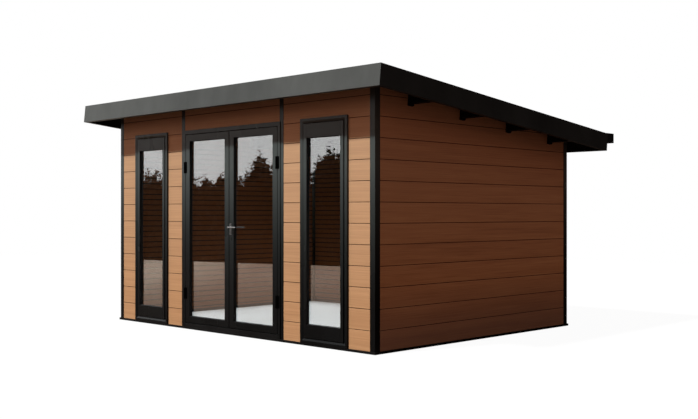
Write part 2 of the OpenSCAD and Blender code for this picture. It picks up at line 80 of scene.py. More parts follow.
# How far the window frames' flanges cover the boards
FLANGE_SIDE, FLANGE_TOP = 0.014, 0.012
HINGE_H, HINGE_PLATE_T = 0.115, 0.003
# From the walls' outer faces to the inner faces of the base rails' upstands, and their top
UPSTAND_IN, UPSTAND_TOP = 0.0325, 0.0403


# ---- node trees ----

def grey(value):
    return (value, value, value, 1.0)


class Nodes:
    """Adds nodes to a node tree: sockets given as inputs are linked, other values are set."""

    # Where most of a noise texture's values lie
    NOISE_LOW, NOISE_HIGH = 0.3, 0.7

    def __init__(self, tree):
        self.tree = tree

    def give(self, socket, value):
        if isinstance(value, bpy.types.NodeSocket):
            self.tree.links.new(value, socket)
        else:
            socket.default_value = value

    def add(self, kind, inputs=None, **settings):
        node = self.tree.nodes.new(kind)
        for name, value in settings.items():
            setattr(node, name, value)
        for name, value in (inputs or {}).items():
            self.give(node.inputs[name], value)
        return node

    def math(self, operation, a, b=0.0):
        return self.add("ShaderNodeMath", {0: a, 1: b}, operation=operation).outputs[0]

    def either(self, a, b):
        return self.math("MAXIMUM", a, b)

    def span(self, value, low, high, to_low=0.0, to_high=1.0, smooth=False):
        """value's run from low to high brought to another run, and held at its ends."""
        ends = {"From Min": low, "From Max": high, "To Min": to_low, "To Max": to_high}
        return self.add(
            "ShaderNodeMapRange", {"Value": value, **ends},
            interpolation_type="SMOOTHSTEP" if smooth else "LINEAR",
        ).outputs["Result"]

    def spread(self, noise, to_low=0.0, to_high=1.0):
        """A noise's usual run brought to another run."""
        return self.span(noise, self.NOISE_LOW, self.NOISE_HIGH, to_low, to_high)

    def blend(self, share, a, b):
        """Colour a, or b as far as share says."""
        node = self.add("ShaderNodeMix", data_type="RGBA")
        for socket, value in ((node.inputs[0], share), (node.inputs[6], a), (node.inputs[7], b)):
            self.give(socket, value)
        return node.outputs[2]

    def grain(self, place, scale, size=1.0, detail=4.0, roughness=0.55):
        """Noise from 0 to 1, stretched by a scale for each axis."""
        stretched = self.add("ShaderNodeMapping", {"Vector": place, "Scale": scale}).outputs[0]
        values = {"Vector": stretched, "Scale": size, "Detail": detail, "Roughness": roughness}
        return self.add("ShaderNodeTexNoise", values).outputs["Fac"]

    def bump(self, height, distance, strength):
        values = {"Height": height, "Distance": distance, "Strength": strength}
        return self.add("ShaderNodeBump", values).outputs[0]

    def axes(self, vector):
        return self.add("ShaderNodeSeparateXYZ", {0: vector}).outputs

    def coordinates(self, kind):
        return self.add("ShaderNodeTexCoord").outputs[kind]

    def light_path(self):
        return self.add("ShaderNodeLightPath").outputs

    def towards_left_ahead(self, parts):
        """How far a direction or place lies towards the front and a little to the left."""
        return self.math("ADD", self.math("MULTIPLY", parts[0], -0.5),
                         self.math("MULTIPLY", parts[1], -0.85))

    def bearing(self, parts):
        """Angle left of straight ahead."""
        return self.math("ARCTAN2", self.math("MULTIPLY", parts[0], -1.0),
                         self.math("MULTIPLY", parts[1], -1.0))

    def seen_straight(self, path):
        """1 for what is looked at, also through panes, and 0 for what is mirrored or only lit."""
        direct = self.either(path["Is Camera Ray"], path["Is Transmission Ray"])
        mirrored = self.math("MINIMUM", path["Glossy Depth"], 1.0)
        return self.math("MULTIPLY", direct, self.math("SUBTRACT", 1.0, mirrored))


# ---- camera, light and surroundings ----

def add_object(name, data):
    new = bpy.data.objects.new(name, data)
    bpy.context.scene.collection.objects.link(new)
    return new


def place_camera():
    data = bpy.data.cameras.new("view")
    camera = add_object("view", data)
    camera.location = (7.4192, -7.3788, 1.1824)
    camera.rotation_euler = (math.radians(90), 0, math.radians(44.48))
    data.lens, data.sensor_width = 49.934, 36
    data.shift_y = 0.0049
    data.clip_end = 200
    bpy.context.scene.camera = camera


def distant_lamp(name, towards, energy, angle):
    lamp = bpy.data.lights.new(name, "SUN")
    lamp.energy, lamp.angle = energy, math.radians(angle)
    add_object(name, lamp).rotation_euler = Vector(towards).to_track_quat("Z", "Y").to_euler()


def light_room():
    """A soft lamp under the roof, unseen, lights the floor panel."""
    low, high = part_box("floor_panel")
    lamp = bpy.data.lights.new("room", "AREA")
    lamp.shape = "RECTANGLE"
    lamp.size, lamp.size_y = high[0] - low[0], high[1] - low[1] - 0.1
    lamp.energy = 40.5
    lamp.spread = math.radians(30)
    room = add_object("room", lamp)
    room.location = ((low[0] + high[0]) / 2, (low[1] + high[1]) / 2, 1.85)
    room.visible_camera = room.visible_glossy = room.visible_transmission = False


# Trees that glass and metal mirror, in degrees: bearing left of straight ahead, half width, height
TREES = (
    (24.0, 6.0, 1.9), (33.0, 7.0, 1.9), (38.2, 3.6, 2.6), (42.0, 2.2, 3.1), (44.4, 1.9, 4.0),
    (45.6, 0.9, 3.95), (46.2, 0.7, 3.3), (49.7, 1.05, 3.45), (48.95, 0.6, 2.7), (50.5, 0.5, 2.45),
    (51.05, 0.6, 2.2), (52.0, 0.75, 2.35), (52.9, 0.6, 2.15), (53.5, 0.45, 2.0), (55.4, 0.4, 2.3),
    (55.8, 0.4, 2.55), (56.25, 0.4, 2.5), (56.65, 0.4, 2.4), (62.0, 4.0, 2.3), (70.0, 7.0, 2.4),
    (80.0, 9.0, 2.0),
)
# How pointed a tree's crown is: 1 is a cone, less is rounder
CROWN = 0.35


def tree_line(t, way, parts):
    """1 inside a dark line of leafy trees round the horizon, and 0 in the sky over it."""
    sway = t.grain(way, (280.0, 280.0, 340.0), detail=4.0, roughness=0.75)
    bearing = t.math("ADD", t.bearing(parts), t.spread(sway, -0.005, 0.005))
    boughs = t.grain(way, (120.0, 120.0, 200.0), detail=2.0, roughness=0.6)
    leaves = t.grain(way, (330.0, 330.0, 420.0), detail=4.0, roughness=0.75)
    ragged = t.math("ADD", t.spread(boughs, -0.005, 0.005), t.spread(leaves, -0.0065, 0.0065))
    # The hedge that joins them, then each crown that stands over it
    top = t.spread(t.grain(way, (12.0, 12.0, 0.0), detail=4.0), 0.024, 0.031)
    for middle, half, height in TREES:
        off = t.math("ABSOLUTE", t.math("SUBTRACT", bearing, math.radians(middle)))
        inward = t.math("SUBTRACT", 1.0, t.math("DIVIDE", off, math.radians(half)))
        taper = t.math("POWER", t.math("MAXIMUM", inward), CROWN)
        top = t.either(top, t.math("MULTIPLY", taper, math.radians(height)))
    over = t.math("SUBTRACT", t.math("ADD", t.math("ARCSINE", parts[2]), ragged), top)
    return t.span(over, -0.0012, 0.0012, 1.0, 0.0)


def leafage(t, way, parts):
    """Near black with brown specks, fewest low down and to the right."""
    specks = t.span(t.grain(way, (330.0,) * 3, detail=3.0, roughness=0.7), 0.475, 0.63)
    for share in (
        t.span(parts[2], 0.018, 0.045, 0.25, 1.0),
        t.span(t.bearing(parts), math.radians(51.2), math.radians(51.9), 0.45, 1.0),
    ):
        specks = t.math("MULTIPLY", specks, share)
    return t.blend(specks, (0.0045, 0.0022, 0.001, 1.0), (0.16, 0.10, 0.065, 1.0))


def mirrored_sky(t, parts):
    """Dull behind, a bright haze on the left ahead, and a glare some way over the trees there."""
    haze = t.span(t.towards_left_ahead(parts), -0.15, 0.55, smooth=True)
    glare = t.math("MULTIPLY", t.span(parts[2], 0.13, 0.25, smooth=True),
                   t.span(parts[2], 0.30, 0.48, 1.0, 0.0))
    return t.blend(haze, grey(0.05), t.blend(glare, grey(1.7), grey(4.5)))


def soft_light(t, parts):
    """Warm and weak near the horizon, stronger from above and ahead."""
    ahead = t.span(t.math("MULTIPLY", parts[1], -1.0), -0.35, 0.5, smooth=True)
    rim = t.blend(ahead, (0.08, 0.045, 0.036, 1.0), (0.14, 0.062, 0.046, 1.0))
    low = t.blend(ahead, (0.115, 0.068, 0.055, 1.0), (0.62, 0.31, 0.24, 1.0))
    high = t.blend(ahead, (0.20, 0.185, 0.175, 1.0), (0.42, 0.41, 0.41, 1.0))
    soft = t.blend(t.span(parts[2], 0.0, 0.30, smooth=True), rim, low)
    return t.blend(t.span(parts[2], 0.35, 0.85, smooth=True), soft, high)


def light_studio():
    left, rise = math.radians(15), math.radians(52.5)
    level = math.cos(rise)
    distant_lamp("sun", (-math.sin(left) * level, -math.cos(left) * level, math.sin(rise)), 4.2, 3)
    # Broad and soft from behind on the left, so that the far sides keep their shape
    distant_lamp("fill", (-0.62, 0.62, 0.48), 0.3, 60)
    light_room()

    world = bpy.data.worlds.new("studio")
    bpy.context.scene.world = world
    world.use_nodes = True
    world.node_tree.nodes.clear()
    t = Nodes(world.node_tree)
    way = t.coordinates("Generated")
    parts = t.axes(way)
    path = t.light_path()
    shown = t.blend(tree_line(t, way, parts), mirrored_sky(t, parts), leafage(t, way, parts))
    mirrored = t.either(path["Is Glossy Ray"], path["Is Transmission Ray"])
    colour = t.blend(mirrored, soft_light(t, parts), shown)
    colour = t.blend(t.seen_straight(path), colour, grey(1.0))
    background = t.add("ShaderNodeBackground", {"Color": colour, "Strength": 1.0}).outputs[0]
    t.add("ShaderNodeOutputWorld", {"Surface": background})


def lay_ground():
    """A pale floor whose front edge ends inside the dark band as glass shows it."""
    mesh = bpy.data.meshes.new("studio_floor")
    corners = [(-18, -8.3, 0), (16, -16.2, 0), (16, 14, 0), (-18, 14, 0)]
    mesh.from_pydata(corners, [], [(0, 1, 2, 3)])
    floor = add_object("studio_floor", mesh)
    paint = bpy.data.materials.new("studio_floor")
    paint.use_nodes = True
    paint.node_tree.nodes.clear()
    t = Nodes(paint.node_tree)
    path = t.light_path()
    seen = t.seen_straight(path)
    mirrored = t.either(path["Is Glossy Ray"], path["Is Transmission Ray"])
    spot = t.axes(t.coordinates("Object"))
    # What is mirrored of it: warm, with painted light brighter on the left and away from the shed, and
    # painted shade behind
    along = t.towards_left_ahead(spot)
    across = t.math("SUBTRACT", spot[0], spot[1])
    shine = t.blend(t.span(across, -2.2, 0.3), (0.69, 0.59, 0.485, 1.0), (0.46, 0.355, 0.285, 1.0))
    shine = t.blend(t.span(along, 3.0, 9.0, 0.42, 0.0), shine, grey(0.0))
    shine = t.blend(t.span(along, -0.6, 1.4, smooth=True), (0.06, 0.042, 0.034, 1.0), shine)
    # What it gives back to the shed's faces is dull, so that they keep their shade
    colour = t.blend(mirrored, (0.075, 0.043, 0.034, 1.0), shine)
    colour = t.blend(seen, colour, grey(0.97))
    matt = t.add("ShaderNodeBsdfDiffuse", {"Color": colour}).outputs[0]
    white = t.add("ShaderNodeEmission", {"Color": grey(1.0), "Strength": 1.0}).outputs[0]
    # Only a trace of the matt floor is left where it is looked at: it carries the shadow
    share = t.math("MULTIPLY", seen, 0.96)
    mixed = t.add("ShaderNodeMixShader", {0: share, 1: matt, 2: white}).outputs[0]
    t.add("ShaderNodeOutputMaterial", {"Surface": mixed})
    mesh.materials.append(paint)


# ---- finishes ----

def new_finish(name, **constants):
    """A material with one Principled shader, and its tree and object coordinates."""
    paint = bpy.data.materials.new(name)
    paint.use_nodes = True
    t = Nodes(paint.node_tree)
    shader = paint.node_tree.nodes["Principled BSDF"]
    for socket, value in constants.items():
        shader.inputs[socket.replace("_", " ")].default_value = value
    return paint, t, shader, t.coordinates("Object")


def dress(t, shader, colour, roughness, relief):
    """The shader's colour, its roughness and its bump: a height, how deep it is, how strong."""
    t.give(shader.inputs["Base Color"], colour)
    t.give(shader.inputs["Roughness"], roughness)
    t.give(shader.inputs["Normal"], t.bump(*relief))


def board_finish(name, dark, middle, light, foot_darkening=0.0):
    """Brushed composite board, with fine grain along it, faint bands and a tone for each board.

    foot_darkening is how far the boards nearest to the ground are darkened towards grey.
    """
    paint, t, shader, place = new_finish(name, Specular_IOR_Level=0.12)
    spot = t.axes(place)
    height = spot[2]
    fine = t.grain(place, (1.6, 1.6, 150.0), detail=6.0, roughness=0.62)
    broad = t.grain(place, (0.5, 0.5, 16.0), detail=3.0)
    cloud = t.grain(place, (0.9, 0.9, 1.6), detail=2.0)
    course = t.math("DIVIDE", t.math("SUBTRACT", height, FIRST_JOINT), COURSE)
    tone = t.add("ShaderNodeTexWhiteNoise", {"W": t.math("FLOOR", course)}, noise_dimensions="1D")
    mix = t.math("ADD", t.math("MULTIPLY", fine, 0.66), t.math("MULTIPLY", broad, 0.34))
    for drift in (tone.outputs["Value"], cloud):
        mix = t.math("ADD", mix, t.math("MULTIPLY", t.math("SUBTRACT", drift, 0.5), 0.05))
    ramp = t.add("ShaderNodeValToRGB", {0: mix})
    stops = ramp.color_ramp.elements
    stops[0].position, stops[0].color = t.NOISE_LOW, dark
    stops[1].position, stops[1].color = t.NOISE_HIGH, light
    stops.new(0.5).color = middle
    # Paler towards the top, most under the roof: painted light
    face = t.span(height, 0.3, 1.8, 0.0, 0.12)
    face = t.blend(face, ramp.outputs[0], (0.75, 0.69, 0.54, 1))
    # Darker and greyer towards the ground
    if foot_darkening:
        face = t.blend(t.span(height, 0.1, 0.6, foot_darkening, 0.0), face, (0.092, 0.084, 0.089, 1))
    # Only the outer face is brushed. The inner face is a darker brown, and the joints and grooves are
    # painted near black: painted shade in them
    inward = [t.math("SUBTRACT", half, t.math("ABSOLUTE", spot[i])) for i, half in enumerate(WALL_HALF)]
    depth = t.math("MINIMUM", *inward)
    inner_face_and_groove_shade = t.blend(t.span(depth, 0.0255, 0.0275), (0.012, 0.005, 0.002, 1), (0.14, 0.047, 0.0155, 1))
    colour = t.blend(t.span(depth, 0.0012, 0.0040), face, inner_face_and_groove_shade)
    dress(t, shader, colour, t.spread(fine, 0.55, 0.72), (fine, 0.0006, 0.45))
    return paint


def powder_coat(name, colour, rough, gloss=0.3, spread=0.10, highlight_colour=None):
    """Powder coat: fine orange peel, with the gloss and tone wandering a little over the surface.

    A coat given a top colour lightens towards it from the ground up: a painted highlight for the sun's
    sheen on the upper parts.
    """
    paint, t, shader, place = new_finish(name, Specular_IOR_Level=gloss)
    peel = t.grain(place, (1, 1, 1), size=700.0, detail=2.0)
    smear = t.grain(place, (2.2, 2.2, 1.1), detail=4.0)
    darker = tuple(c * 0.82 for c in colour) + (1.0,)
    lighter = tuple(c * 1.25 + 0.0015 for c in colour) + (1.0,)
    tone = t.blend(t.spread(smear), darker, lighter)
    # Painted highlight: lighter towards the top
    if highlight_colour:
        highlight_share = t.math("POWER", t.span(t.axes(place)[2], 0.25, 1.6), 2.2)
        tone = t.blend(highlight_share, tone, highlight_colour)
    dress(t, shader, tone, t.spread(smear, rough, rough + spread), (peel, 0.00012, 0.5))
    return paint


def floor_finish():
    """Pale matt floor board with a fine fleck."""
    paint, t, shader, place = new_finish("floor_board")
    fleck = t.grain(place, (1, 1, 1), size=260.0, detail=2.0)
    cloud = t.grain(place, (1, 1, 1), size=1.4, detail=3.0)
    colour = t.blend(t.span(fleck, 0.35, 0.6), (0.60, 0.635, 0.645, 1), (0.715, 0.76, 0.775, 1))
    colour = t.blend(t.math("MULTIPLY", cloud, 0.25), colour, (0.54, 0.57, 0.58, 1))
    dress(t, shader, colour, t.spread(cloud, 0.5, 0.62), (fleck, 0.0002, 0.4))
    return paint


def glass_finish():
    """Coated double glazing as one pane: it mirrors its surroundings and lets the lamps through."""
    paint, t, shader, place = new_finish("pane", Transmission_Weight=1.0, IOR=2.1)
    # A trace of dust and wiping marks
    film = t.grain(place, (3.0, 3.0, 1.2), detail=5.0)
    colour = t.blend(t.span(film, 0.35, 0.75), (0.93, 0.95, 0.95, 1), (0.90, 0.92, 0.92, 1))
    wave = t.grain(place, (2.0, 2.0, 2.6), detail=1.0)
    dress(t, shader, colour, 0.0, (wave, 0.0002, 0.4))
    path = t.light_path()
    tint = t.add("ShaderNodeBsdfTransparent", {"Color": (0.3, 0.31, 0.31, 1)}).outputs[0]
    lit = t.either(path["Is Shadow Ray"], path["Is Diffuse Ray"])
    mixed = t.add("ShaderNodeMixShader", {0: lit, 1: shader.outputs[0], 2: tint}).outputs[0]
    t.give(t.tree.nodes["Material Output"].inputs[0], mixed)
    return paint


def steel_finish(name, dark, light, brushed):
    """Satin stainless steel; brushed is finest across the brush's way."""
    paint, t, shader, place = new_finish(name, Metallic=1.0)
    brush = t.grain(place, brushed, detail=3.0)
    colour = t.blend(t.spread(brush), dark, light)
    dress(t, shader, colour, t.spread(brush, 0.2, 0.36), (brush, 0.00005, 0.4))
    return paint


def rubber_finish():
    """Black sealing rubber, matt with a faint bloom."""
    paint, t, shader, place = new_finish("black_rubber", Specular_IOR_Level=0.15)
    bloom = t.grain(place, (1, 1, 1), size=40.0, detail=4.0)
    colour = t.blend(t.spread(bloom), grey(0.004), grey(0.010))
    dress(t, shader, colour, t.spread(bloom, 0.55, 0.75), (bloom, 0.0001, 0.3))
    return paint


# ---- ways to make shapes ----

def mesh_of(name, verts, faces):
    """A closed mesh whose faces all point outwards."""
    mesh = bpy.data.meshes.new(name)
    mesh.from_pydata([tuple(v) for v in verts], [], faces)
    bm = bmesh.new()
    bm.from_mesh(mesh)
    bmesh.ops.remove_doubles(bm, verts=bm.verts, dist=1e-6)
    bmesh.ops.recalc_face_normals(bm, faces=bm.faces)
    bm.to_mesh(mesh)
    bm.free()
    return mesh


def as_it_is(s, a, b):
    return (s, a, b)


def extruded(name, outline, start, end, place=as_it_is):
    """outline's points swept from start to end; place(s, a, b) gives a point in space."""
    n = len(outline)
    verts = [place(s, a, b) for s in (start, end) for a, b in outline]
    faces = [tuple(range(n)), tuple(range(2 * n - 1, n - 1, -1))]
    faces += [(i, (i + 1) % n, n + (i + 1) % n, n + i) for i in range(n)]
    return mesh_of(name, verts, faces)


def joined(name, meshes):
    """One mesh out of several, which are used up."""
    bm = bmesh.new()
    for mesh in meshes:
        bm.from_mesh(mesh)
        bpy.data.meshes.remove(mesh)
    whole = bpy.data.meshes.new(name)
    bm.to_mesh(whole)
    bm.free()
    return whole


def turned(rings, sides, place):
    """Rings of a radius and a height, closed at both ends; place(x, y, z) gives a point in space."""
    corners = [(math.cos(math.tau * k / sides), math.sin(math.tau * k / sides)) for k in range(sides)]
    verts = [place(radius * x, radius * y, height) for radius, height in rings for x, y in corners]
    last = sides * (len(rings) - 1)
    faces = []
    for start in range(0, last, sides):
        for k in range(sides):
            after = (k + 1) % sides
            faces.append((start + k, start + after, start + sides + after, start + sides + k))
    faces += [tuple(range(sides - 1, -1, -1)), tuple(range(last, last + sides))]
    return mesh_of("turned", verts, faces)


def block(name, low, high):
    """A plain cutting block."""
    outline = [(low[1], low[2]), (high[1], low[2]), (high[1], high[2]), (low[1], high[2])]
    return extruded(name, outline, low[0], high[0])


def on_roof(x, down, up):
    """A point in the roof's own directions: down the slope from the posts, and square to it."""
    c, s = math.cos(ROOF_PITCH), math.sin(ROOF_PITCH)
    return Vector((x, FRONT_Y + down * c + up * s, ROOF_Z - down * s + up * c))


def roof_block(name, corners):
    """A cutting block across the shed, from its corners down the slope and square to it."""
    points = [on_roof(0, down, up) for down, up in corners]
    return extruded(name, [(p.y, p.z) for p in points], -CUT_HALF, CUT_HALF)


def plain_mesh(piece, name):
    """piece with its modifiers applied, as a new object at the origin."""
    graph = bpy.context.evaluated_depsgraph_get()
    mesh = bpy.data.meshes.new_from_object(piece.evaluated_get(graph))
    piece.modifiers.clear()
    old = piece.data
    bpy.data.objects.remove(piece)
    if old.users == 0:
        bpy.data.meshes.remove(old)
    mesh.name = name
    return add_object(name, mesh)


def cut_away(piece, cutter_mesh):
    """piece without what cutter_mesh covers."""
    cutter = add_object("cutter", cutter_mesh)
    step = piece.modifiers.new("cut", "BOOLEAN")
    step.operation, step.solver, step.object = "DIFFERENCE", "EXACT", cutter
    name = piece.name
    done = plain_mesh(piece, name + "_cut")
    bpy.data.objects.remove(cutter)
    bpy.data.meshes.remove(cutter_mesh)
    done.name = name
    return done


def rows_tree():
    """Geometry Nodes that repeat a piece in a row, and that row in rows of its own."""
    tree = bpy.data.node_groups.new("rows of one piece", "GeometryNodeTree")
    inputs = {
        "Geometry": "Geometry", "Count along": "Int", "Step along": "Vector",
        "Count across": "Int", "Step across": "Vector", "Finish": "Material",
    }
    for name, kind in inputs.items():
        tree.interface.new_socket(name, in_out="INPUT", socket_type="NodeSocket" + kind)
    tree.interface.new_socket("Geometry", in_out="OUTPUT", socket_type="NodeSocketGeometry")
    t = Nodes(tree)
    given = t.add("NodeGroupInput").outputs
    shape = given["Geometry"]
    for way in ("along", "across"):
        steps = {"Count": given["Count " + way], "Offset": given["Step " + way]}
        line = t.add("GeometryNodeMeshLine", steps, mode="OFFSET").outputs[0]
        copies = {"Points": line, "Instance": shape}
        shape = t.add("GeometryNodeInstanceOnPoints", copies).outputs[0]
    real = t.add("GeometryNodeRealizeInstances", {0: shape}).outputs[0]
    painted = {"Geometry": real, "Material": given["Finish"]}
    t.add("NodeGroupOutput", {0: t.add("GeometryNodeSetMaterial", painted).outputs[0]})
    return tree


def repeated(name, mesh, finish, along, across=(1, (0, 0, 0))):
    """mesh in rows: along and across are a count and a step."""
    piece = add_object(name + "_one", mesh)
    step = piece.modifiers.new("rows", "NODES")
    step.node_group = ROWS
    values = {
        "Count along": along[0], "Step along": along[1],
        "Count across": across[0], "Step across": across[1], "Finish": finish,
    }
    for item in ROWS.interface.items_tree:
        if item.item_type == "SOCKET" and item.in_out == "INPUT" and item.name in values:
            step[item.identifier] = values[item.name]
    piece.update_tag()
    return plain_mesh(piece, name)


def finished(piece, finish, body, slot, *replaced):
    """A piece's material, body and the nodes that it stands for; slot is not used."""
    piece.data.materials.clear()
    piece.data.materials.append(finish)
    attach(piece, body)
    if replaced:
        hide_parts(*replaced)


def finished_mesh(name, meshes, finish, body, slot):
    """A finished piece out of meshes that are ready."""
    finished(add_object(name, joined(name, meshes)), finish, body, slot)


# ---- boards ----

# Half the reach of the blocks that cut the boards, past the shed on all sides
CUT_HALF = 4
# Section of one board, in mm: depth behind its outer face, and height above the joint under it.
# Up the face and round the tongue, down the ribbed inner face, and round the groove below
BOARD_OUTLINE = [
    (0, 4.0), (0, 176.0), (0.6, 177.1), (1.8, 177.6), (7.5, 177.6), (7.5, 189), (8.5, 190),
    (18.5, 190), (19.5, 189), (19.5, 179.6), (22, 179.6), (28, 174),
    (28, 126), (22, 123.5), (22, 116.5), (28, 114), (28, 66), (22, 63.5), (22, 56.5), (28, 54),
    (28, 6), (22, 0.4), (19.9, 0.4), (19.9, 11), (7.1, 11), (7.1, 2.6), (1.8, 2.6), (0.6, 3.0),
]


def roof_cutter():
    """Everything over the walls' top edge, just under the roof sheet."""
    purlin_top = PURLIN_H - SEAT
    return roof_block("roof_cutter", [(-1, purlin_top), (5, purlin_top), (5, 2), (-1, 2)])


def purlin_cutter():
    """Blocks round the purlins, with their seat's clearance."""
    notches = []
    for i in range(PURLIN_N):
        first = PURLIN_FIRST + i * PURLIN_PITCH - SEAT
        last = first + PURLIN_W + 2 * SEAT
        notches.append(roof_block("notch", [(first, -SEAT), (last, -SEAT), (last, 0.2), (first, 0.2)]))
    return joined("notches", notches)


def board_wall(name, along, face, outward, start, end, low_z, *cutters):
    """Rows of boards along x or y, cut under the roof, over the base rail and by each cutter."""
    def place(s, depth, z):
        d = face - outward * depth * MM
        at = FIRST_JOINT + z * MM
        return (s, d, at) if along == "x" else (d, s, at)

    one = extruded(name, BOARD_OUTLINE, start, end, place)
    wall = repeated(name, one, BOARD, (COURSES, (0, 0, COURSE)))
    foot = block("base_cutter", (-CUT_HALF, -CUT_HALF, -1), (CUT_HALF, CUT_HALF, low_z))
    for cutter in (roof_cutter(), foot, *cutters):
        wall = cut_away(wall, cutter)
    return wall


def build_walls():
    for side in ("left", "right"):
        low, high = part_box(f"front_{side}_head_panel")
        frame_low, frame_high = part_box(f"window_frame_{side}")
        opening = block("opening", (frame_low[0] + FLANGE_SIDE, FRONT_Y - 1, 0),
                        (frame_high[0] - FLANGE_SIDE, FRONT_Y + 1, frame_high[2] - FLANGE_TOP))
        wall = board_wall(f"boards_front_{side}", "x", low[1], -1, low[0], high[0], RAIL_TOP, opening)
        finished(wall, BOARD, "root", "board", f"front_{side}_piers", f"front_{side}_head_panel")
    low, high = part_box("door_head_panel")
    wall = board_wall("boards_over_door", "x", low[1], -1, low[0], high[0], low[2])
    finished(wall, BOARD, "root", "board", "door_head_panel")
    for side, outward in (("left", -1), ("right", 1)):
        low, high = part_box(side + "_wall")
        face = high[0] if outward > 0 else low[0]
        wall = board_wall(f"boards_{side}", "y", face, outward, low[1], high[1], RAIL_TOP,
                          purlin_cutter())
        finished(wall, SHADE_BOARD, "root", "board", side + "_wall")
    low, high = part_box("back_wall")
    wall = board_wall("boards_back", "x", high[1], 1, low[0], high[0], RAIL_TOP)
    finished(wall, SHADE_BOARD, "root", "board", "back_wall")


# ---- seals and strips ----

def ring(x0, x1, z0, z1, outline):
    """A mitred ring round an upright rectangle. outline's points are inset from its edge, and y."""
    loops = [[(x0 + i, y, z0 + i), (x1 - i, y, z0 + i), (x1 - i, y, z1 - i), (x0 + i, y, z1 - i)]
             for i, y in outline]
    verts = [v for loop in loops for v in loop]
    faces = []
    for k in range(len(loops)):
        here, there = 4 * k, 4 * ((k + 1) % len(loops))
        for c in range(4):
            after = (c + 1) % 4
            faces.append((here + c, here + after, there + after, there + c))
    return mesh_of("bead", verts, faces)


def seal_glass(node, holder, body):
    """A bead round a pane's outer face, out to its holder's edge, and a wedge on its inner face."""
    low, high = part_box(node)
    x0, x1 = low[0] + GLASS_BITE, high[0] - GLASS_BITE
    z0, z1 = low[2] + GLASS_BITE, high[2] - GLASS_BITE
    gap = 2 * HAIR
    beads = []
    for face, out in ((low[1], -1), (high[1], 1)):
        outline = [(gap, face + out * gap), (0.0046, face + out * gap),
                   (0.0042, face + out * 0.0016), (0.0016, face + out * 0.0036)]
        if out < 0:
            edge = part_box(holder)[0][1] + HOLDER_BEVEL
            outline += [(0.0012, edge + 0.0008), (0.0008, edge), (gap, edge)]
        else:
            outline += [(gap, face + out * 0.0040)]
        beads.append(ring(x0, x1, z0, z1, outline))
    finished_mesh("seal_" + node, beads, RUBBER, body, "black_metal")


# Section of the black strip, painted shade where boards end at a post: across the board, and out from
# its face
END_STRIP = [(0, 0.0001), (0.005, 0.0001), (0.005, 0.0007), (0.0032, 0.0018), (0, 0.0018)]


def end_strip(face, outward, edge, side, top_z, across):
    """An upright strip on a wall's face, from edge to the side given as 1 or -1."""
    def place(s, a, b):
        at, out = edge + side * a, face + outward * b
        return (at, out, s) if across == "x" else (out, at, s)
    return extruded("strip", END_STRIP, RAIL_TOP + SEAT, top_z, place)


def shade_board_ends():
    """Black strips where the side and back boards meet the corner posts: painted shade for the gap
    there.
    """
    def top_at(y):
        return on_roof(0, (y - FRONT_Y) / math.cos(ROOF_PITCH), PURLIN_H).z - 0.003

    half_x, half_y = WALL_HALF
    edge_x, edge_y = BACK_POST_EDGE
    strips = []
    for outward in (-1, 1):
        strips.append(end_strip(half_y, 1, outward * edge_x, -outward, top_at(half_y), "x"))
        for edge, side in ((-edge_y, 1), (edge_y, -1)):
            strips.append(end_strip(outward * half_x, outward, edge, side, top_at(edge), "y"))
    finished_mesh("board_end_shade_strips", strips, RUBBER, "root", "black_metal")


def trim_floor():
    """A black strip along the foot of the side and back walls, over the base rails' upstands."""
    foot, top, lip = RAIL_TOP + 2 * HAIR, 0.052, -0.0042
    outline = [(0, foot), (0.0065, foot), (0.0065, top - 0.004), (0.0025, top),
               (lip, top), (lip, UPSTAND_TOP), (0, UPSTAND_TOP)]
    side, back = (half - UPSTAND_IN for half in WALL_HALF)
    reach_x, reach_y = (edge - 0.002 for edge in BACK_POST_EDGE)
    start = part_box("floor_panel")[0][1]
    strips = [extruded("trim", outline, start, reach_y, lambda s, a, b: (way * (side - a), s, b))
              for way in (-1, 1)]
    strips.append(extruded("trim", outline, -reach_x, reach_x, lambda s, a, b: (s, back - a, b)))
    finished_mesh("floor_trim", strips, RUBBER, "root", "black_metal")


def seal_meeting_edge():
    """A rubber bead down the right leaf's free edge, short of the left leaf."""
    low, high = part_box("door_leaf_right")
    outline = [(0, 0.013), (-0.0022, 0.013), (-0.0034, 0.015),
               (-0.0034, 0.022), (-0.0022, 0.024), (0, 0.024)]
    from_end = 0.012
    bead = extruded("bead", outline, low[2] + from_end, high[2] - from_end,
                    lambda s, a, b: (low[0] - HAIR + a, low[1] + b, s))
    finished_mesh("seal_meeting_edge", [bead], RUBBER, "right_door", "black_metal")


# ---- fixings ----

def roof_screw(place):
    """Hexagon head on a sealing washer."""
    washer = turned([(0.0085, 0.0), (0.0085, 0.0022), (0.0052, 0.0030)], 12, place)
    head = turned([(0.0045, 0.0030), (0.0045, 0.0075), (0.0038, 0.0080)], 6, place)
    return joined("roof_screw", [washer, head])


def socket_screw(radius, place):
    """Button head with a hexagon socket."""
    rings = [(radius, 0.0), (radius, 0.0005), (0.8 * radius, 0.0013), (0.45 * radius, 0.0015),
             (0.42 * radius, 0.0006)]
    return turned(rings, 12, place)


def slope_step(length):
    return tuple(on_roof(0, length, 0) - on_roof(0, 0, 0))


def fix_roof():
    """A screw in every valley of the sheet over each purlin."""
    top = PURLIN_H + SHEET_T + HAIR
    middle = PURLIN_FIRST + PURLIN_W / 2
    screw = roof_screw(lambda x, y, z: on_roof(FIRST_VALLEY + x, middle + y, top + z))
    screws = repeated("roof_screws", screw, ROOF, (RIBS - 1, (RIB_PITCH, 0, 0)),
                      (PURLIN_N, slope_step(PURLIN_PITCH)))
    finished(screws, ROOF, "root", "roof_sheet")


